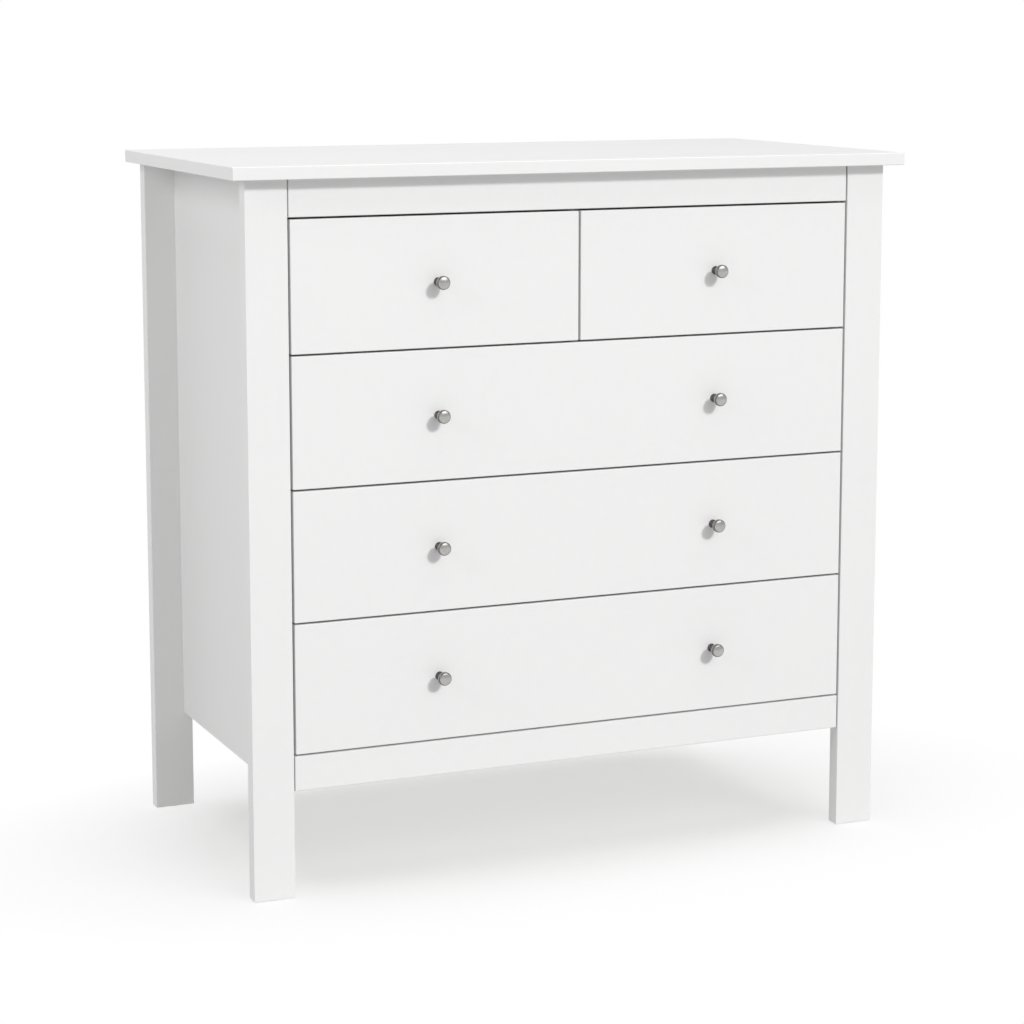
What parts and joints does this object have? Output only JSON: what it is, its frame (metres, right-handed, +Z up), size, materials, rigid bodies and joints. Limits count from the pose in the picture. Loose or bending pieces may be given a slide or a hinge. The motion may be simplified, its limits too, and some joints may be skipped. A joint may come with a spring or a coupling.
{
  "type": "chest of drawers",
  "caption": "Chest of drawers with flush inset fronts and round metal knobs, recessed side panels between plank legs, and drawers that slide on wooden runner strips.",
  "frame": {"origin": "on the floor, under the centre of the top panel", "axes": "+Z up, +X to the chest's right as seen from the front, drawers open towards -Y"},
  "size_m": [0.91, 0.477, 0.9],
  "materials": {
    "white_lacquer": "satin",
    "white_foil": "matte",
    "hardboard": "matte",
    "beech": "matte",
    "steel": "satin",
    "satin_nickel": "satin",
    "nylon": "matte"
  },
  "bodies": {
    "carcass": {"top_panel": "white_lacquer", "front_left_post": "white_lacquer", "front_right_post": "white_lacquer", "rear_left_post": "white_lacquer", "rear_right_post": "white_lacquer", "left_side_panel": "white_lacquer", "right_side_panel": "white_lacquer", "upper_front_rail": "white_lacquer", "lower_front_rail": "white_lacquer", "upper_rear_rail": "white_lacquer", "lower_rear_rail": "white_lacquer", "divider_front_rail": "white_foil", "divider_rear_rail": "white_foil", "centre_divider": "white_foil", "back_panel": "hardboard", "runner_strips": "beech", "runner_screws": "steel", "carcass_dowels": "beech", "cam_locks": "steel", "cam_bolts": "steel", "foot_glides": "nylon"},
    "top_left_drawer": {"top_left_drawer_front": "white_lacquer", "top_left_drawer_left_side": "white_foil", "top_left_drawer_right_side": "white_foil", "top_left_drawer_back": "white_foil", "top_left_drawer_bottom": "hardboard", "top_left_drawer_knobs": "satin_nickel", "top_left_drawer_knob_screws": "steel"},
    "top_right_drawer": {"top_right_drawer_front": "white_lacquer", "top_right_drawer_left_side": "white_foil", "top_right_drawer_right_side": "white_foil", "top_right_drawer_back": "white_foil", "top_right_drawer_bottom": "hardboard", "top_right_drawer_knobs": "satin_nickel", "top_right_drawer_knob_screws": "steel"},
    "second_drawer": {"second_drawer_front": "white_lacquer", "second_drawer_left_side": "white_foil", "second_drawer_right_side": "white_foil", "second_drawer_back": "white_foil", "second_drawer_bottom": "hardboard", "second_drawer_knobs": "satin_nickel", "second_drawer_knob_screws": "steel"},
    "third_drawer": {"third_drawer_front": "white_lacquer", "third_drawer_left_side": "white_foil", "third_drawer_right_side": "white_foil", "third_drawer_back": "white_foil", "third_drawer_bottom": "hardboard", "third_drawer_knobs": "satin_nickel", "third_drawer_knob_screws": "steel"},
    "bottom_drawer": {"bottom_drawer_front": "white_lacquer", "bottom_drawer_left_side": "white_foil", "bottom_drawer_right_side": "white_foil", "bottom_drawer_back": "white_foil", "bottom_drawer_bottom": "hardboard", "bottom_drawer_knobs": "satin_nickel", "bottom_drawer_knob_screws": "steel"}
  },
  "joints": [
    {"name": "top_left_drawer_slide", "type": "slide", "parent": "carcass", "child": "top_left_drawer", "axis": [0, -1, 0], "range_m": [0, 0.28]},
    {"name": "top_right_drawer_slide", "type": "slide", "parent": "carcass", "child": "top_right_drawer", "axis": [0, -1, 0], "range_m": [0, 0.28]},
    {"name": "second_drawer_slide", "type": "slide", "parent": "carcass", "child": "second_drawer", "axis": [0, -1, 0], "range_m": [0, 0.28]},
    {"name": "third_drawer_slide", "type": "slide", "parent": "carcass", "child": "third_drawer", "axis": [0, -1, 0], "range_m": [0, 0.28]},
    {"name": "bottom_drawer_slide", "type": "slide", "parent": "carcass", "child": "bottom_drawer", "axis": [0, -1, 0], "range_m": [0, 0.28]}
  ]
}
